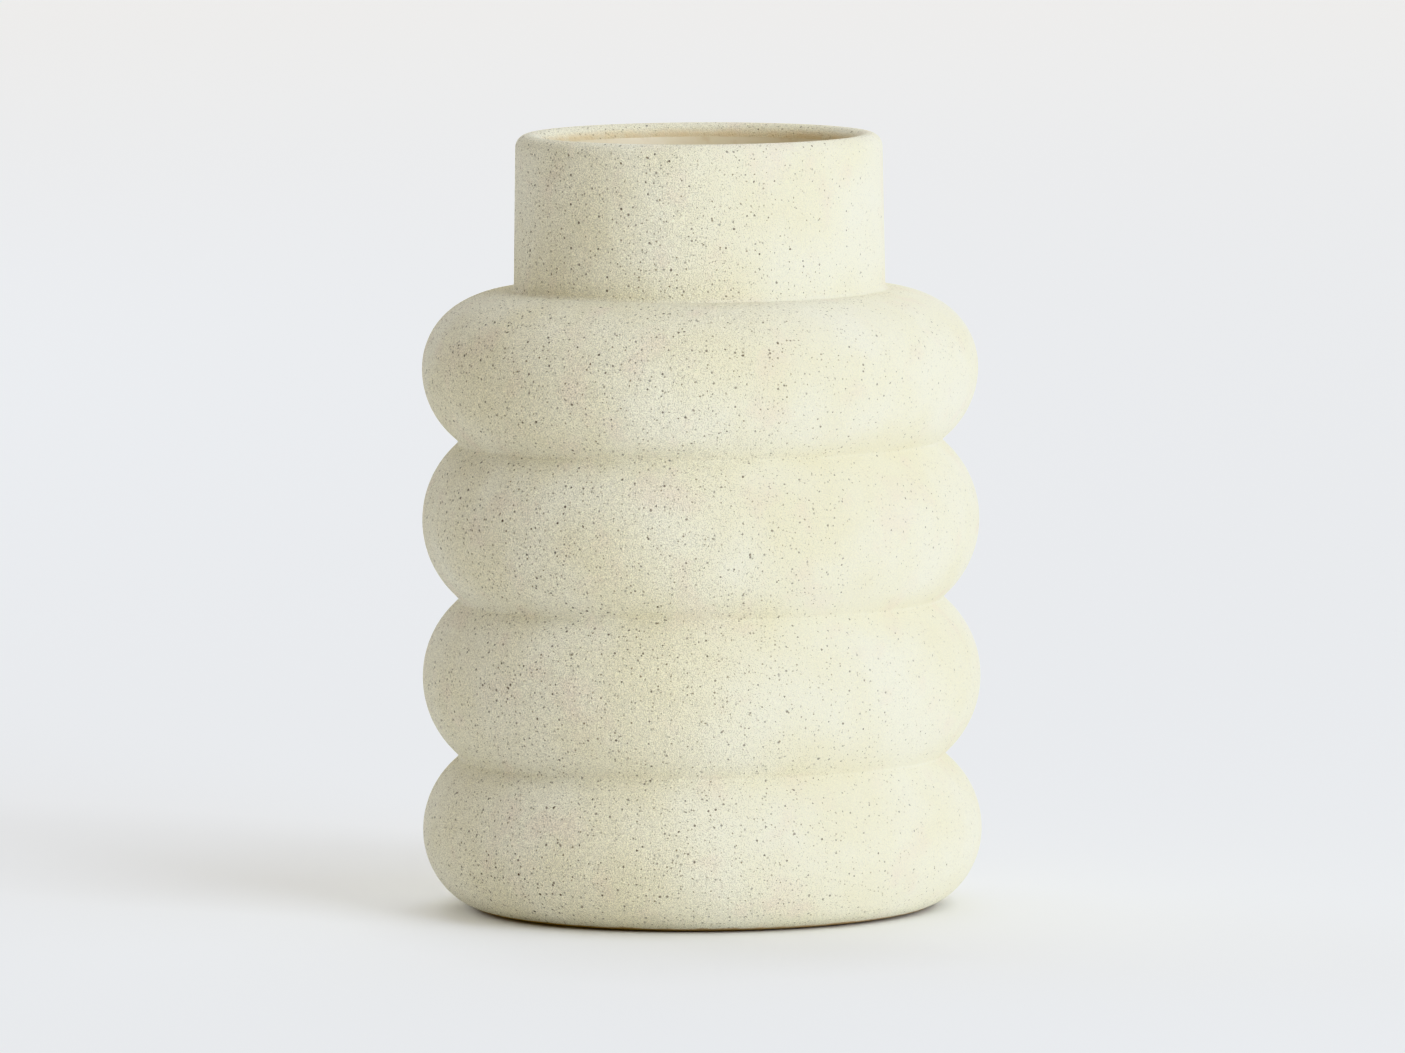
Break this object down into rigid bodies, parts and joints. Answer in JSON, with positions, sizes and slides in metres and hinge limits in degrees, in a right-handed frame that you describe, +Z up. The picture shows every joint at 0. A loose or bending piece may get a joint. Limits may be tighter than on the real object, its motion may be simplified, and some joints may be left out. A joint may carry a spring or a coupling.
{
  "type": "vase",
  "caption": "Free-standing ceramic vase: a stack of rounded rings joined at sharp grooves, under a straight round neck with a rounded lip, hollow down to a turned foot.",
  "frame": {"origin": "centre of the foot, on the surface that the vase stands on", "axes": "+Z up along the vase's axis of revolution, towards the mouth; X and Y are free choices on a round body"},
  "size_m": [0.1444, 0.1444, 0.2],
  "materials": {
    "matte_glaze": "matt cream stoneware glaze with a sandy grain, fine iron specks and faint warm mottling",
    "liner_glaze": "poured satin glaze, warmer than the outside",
    "bare_clay": "unglazed buff stoneware, sponged smooth",
    "slip": "fired joining slip, glazed over where it shows"
  },
  "bodies": {
    "root": {"foot_disc": "bare_clay", "ring_1_base": "matte_glaze", "ring_2": "matte_glaze", "ring_3": "matte_glaze", "ring_4_shoulder": "matte_glaze", "neck_collar": "matte_glaze", "slip_foot": "slip", "slip_joint_1_2": "slip", "slip_joint_2_3": "slip", "slip_joint_3_4": "slip", "slip_neck": "slip", "liner_glaze": "liner_glaze"}
  },
  "joints": []
}
